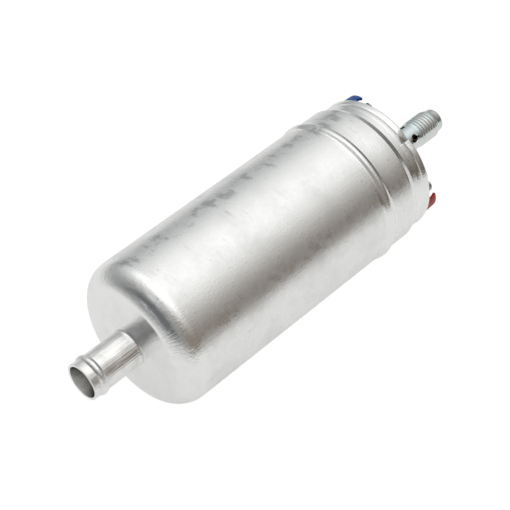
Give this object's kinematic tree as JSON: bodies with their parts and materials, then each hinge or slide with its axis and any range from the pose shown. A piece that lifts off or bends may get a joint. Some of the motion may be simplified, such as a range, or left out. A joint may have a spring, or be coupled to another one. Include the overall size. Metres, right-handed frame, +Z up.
{
  "type": "electric fuel pump",
  "caption": "In-line electric fuel pump: aluminium can with a domed end and hose stub, a crimped end cap, a threaded outlet stud and two stud terminals.",
  "frame": {"origin": "on the pump's axis, at the middle of the can's straight stretch, where a clamp band holds it", "axes": "+X along the pump's axis towards the outlet, +Z up, pump level"},
  "size_m": [0.1914, 0.0616, 0.0616],
  "materials": {
    "can": "satin drawn and brushed",
    "stub": "bright turned",
    "zinc": "bright zinc plate",
    "black_plastic": "moulded",
    "blue_plastic": "moulded",
    "red_plastic": "moulded",
    "rubber": "matt",
    "steel": "ground",
    "sintered": "sintered",
    "ferrite": "ferrite",
    "copper": "drawn copper",
    "brass": "drawn",
    "bronze": "sintered",
    "carbon": "pressed carbon",
    "nylon": "moulded",
    "capacitor_skin": "dipped",
    "ball": "polished"
  },
  "bodies": {
    "housing": {"brush_carrier": "black_plastic", "can": "can", "cap_o_ring": "rubber", "capacitor": "capacitor_skin", "check_seat": "brass", "check_spring": "steel", "end_cap": "black_plastic", "fitting_seal": "copper", "flux_ring": "steel", "front_bush": "bronze", "inlet_plate": "sintered", "inlet_stub": "stub", "magnet_clips": "steel", "magnet_north": "ferrite", "magnet_south": "ferrite", "negative_brush_spring": "steel", "negative_brush_tube": "brass", "negative_bus_bar": "brass", "negative_choke": "ferrite", "negative_insulator": "blue_plastic", "negative_nut": "zinc", "negative_post": "zinc", "negative_post_seal": "rubber", "negative_washer": "zinc", "outlet_fitting": "zinc", "outlet_plate": "sintered", "positive_brush_spring": "steel", "positive_brush_tube": "brass", "positive_bus_bar": "brass", "positive_choke": "ferrite", "positive_insulator": "red_plastic", "positive_nut": "zinc", "positive_post": "zinc", "positive_post_seal": "rubber", "positive_washer": "zinc", "pump_o_ring": "rubber", "pump_screws": "steel", "rear_bush": "bronze", "relief_plug": "brass", "relief_spring": "steel", "rotor_ring": "sintered", "strainer_cage": "nylon", "strainer_mesh": "nylon"},
    "armature": {"shaft": "steel", "armature_core": "steel", "windings": "copper", "commutator_hub": "black_plastic", "commutator_segments": "copper", "thrust_washer_front": "nylon", "thrust_washer_rear": "nylon", "inner_rotor": "sintered"},
    "outer_rotor": {"outer_rotor": "sintered"},
    "check_valve": {"check_ball": "ball"},
    "relief_valve": {"relief_ball": "ball"},
    "brush_negative": {"negative_brush": "carbon"},
    "brush_positive": {"positive_brush": "carbon"}
  },
  "joints": [
    {"name": "armature_spin", "type": "hinge", "parent": "housing", "child": "armature", "pos_m": [0, 0, 0], "axis": [1, 0, 0], "continuous": true},
    {"name": "outer_rotor_spin", "type": "hinge", "parent": "housing", "child": "outer_rotor", "pos_m": [-0.04195, -0.00118, -0.00075], "axis": [1, 0, 0], "continuous": true},
    {"name": "check_lift", "type": "slide", "parent": "housing", "child": "check_valve", "axis": [1, 0, 0], "range_m": [0, 0.0016], "stiffness_N_per_m": 400, "springref_m": -0.004, "deforming": ["check_spring"]},
    {"name": "relief_lift", "type": "slide", "parent": "housing", "child": "relief_valve", "axis": [-1, 0, 0], "range_m": [0, 0.0012], "stiffness_N_per_m": 1500, "springref_m": -0.0038, "deforming": ["relief_spring"]},
    {"name": "brush_negative_slide", "type": "slide", "parent": "housing", "child": "brush_negative", "axis": [0, 0.8425, 0.5388], "range_m": [0, 0.002], "stiffness_N_per_m": 250, "springref_m": -0.006, "deforming": ["negative_brush_spring"]},
    {"name": "brush_positive_slide", "type": "slide", "parent": "housing", "child": "brush_positive", "axis": [0, -0.8425, -0.5388], "range_m": [0, 0.002], "stiffness_N_per_m": 250, "springref_m": -0.006, "deforming": ["positive_brush_spring"]}
  ],
  "couplings": [
    {"joint": "outer_rotor_spin", "follows": "armature_spin", "ratio": 0.85714}
  ]
}
